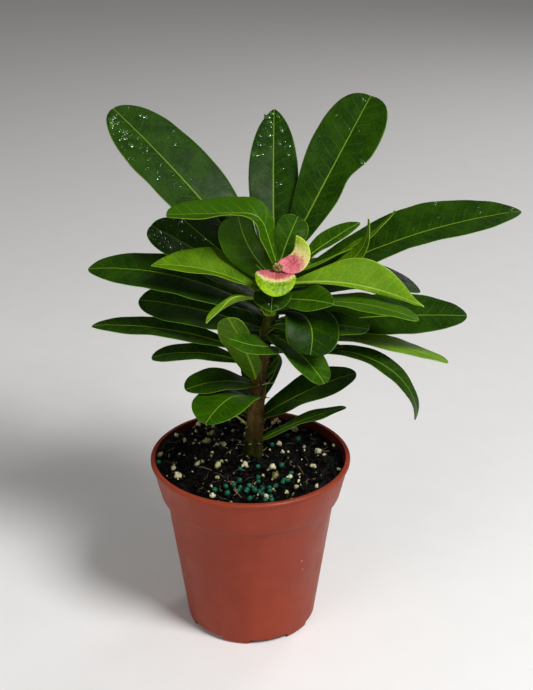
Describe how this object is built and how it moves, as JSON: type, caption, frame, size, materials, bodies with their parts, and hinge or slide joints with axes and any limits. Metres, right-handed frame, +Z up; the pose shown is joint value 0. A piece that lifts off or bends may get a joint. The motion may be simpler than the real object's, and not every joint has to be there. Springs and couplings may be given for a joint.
{
  "type": "potted euphorbia",
  "caption": "Young large-leaved euphorbia houseplant: spiny upright stem, long leaves and a small flower head with bracts, in a round plastic nursery pot filled with soil.",
  "frame": {"origin": "centre of the pot's underside, on the plane that it stands on", "axes": "+Z up along the pot's axis; the front of the plant faces -Y"},
  "size_m": [0.2271, 0.1396, 0.2886],
  "materials": {
    "pot_plastic": "moulded terracotta-coloured plastic, satin",
    "soil_mix": "damp peat and bark mix with perlite and fertiliser beads",
    "stem_bark": "green-brown bark with leaf scars",
    "flower_green": "olive cup with pale glands",
    "bract": "waxy, pink at the foot and yellow-green at the tip",
    "leaf_mature": "glossy dark green leaf",
    "leaf_middle": "glossy mid green leaf",
    "leaf_young": "young yellow-green leaf",
    "leaf_pale": "youngest, palest leaf"
  },
  "bodies": {
    "root": {"pot": "pot_plastic", "soil": "soil_mix", "stem": "stem_bark", "flower_cup": "flower_green", "bract_front": "bract", "bract_rear": "bract", "leaf_back_left": "leaf_mature", "leaf_back_middle": "leaf_mature", "leaf_back_right": "leaf_mature", "leaf_arched_left": "leaf_young", "leaf_upper_left_inner": "leaf_middle", "leaf_upper_right_inner": "leaf_middle", "leaf_canoe_left": "leaf_young", "leaf_left_wet": "leaf_mature", "leaf_left_long": "leaf_mature", "leaf_left_under": "leaf_mature", "leaf_curled_left": "leaf_pale", "leaf_left_narrow": "leaf_mature", "leaf_left_low": "leaf_mature", "leaf_low_left_back": "leaf_mature", "leaf_low_left_front": "leaf_middle", "leaf_rising_front": "leaf_young", "leaf_front_left_small": "leaf_middle", "leaf_front_cup": "leaf_mature", "leaf_front_pale": "leaf_pale", "leaf_front_right_round": "leaf_mature", "leaf_front_right_olive": "leaf_middle", "leaf_right_small": "leaf_middle", "leaf_right_long": "leaf_mature", "leaf_right_arched": "leaf_middle", "leaf_right_pale": "leaf_pale", "leaf_right_curled": "leaf_young", "leaf_right_sprout": "leaf_young", "leaf_upper_right_narrow": "leaf_middle", "leaf_far_right": "leaf_mature", "leaf_right_shaded": "leaf_mature", "leaf_right_low_narrow": "leaf_young", "leaf_right_drooping": "leaf_mature", "leaf_front_right_low": "leaf_middle", "leaf_low_right_dark": "leaf_mature", "leaf_low_right_narrow": "leaf_middle", "leaf_stem_side_small": "leaf_mature", "leaf_stem_side_dark": "leaf_mature", "leaf_right_brown_tip": "leaf_middle", "leaf_back_low_left": "leaf_mature", "leaf_back_low_right": "leaf_mature", "leaf_back_centre": "leaf_mature", "leaf_back_foot_left": "leaf_mature", "leaf_back_foot_right": "leaf_mature"}
  },
  "joints": []
}
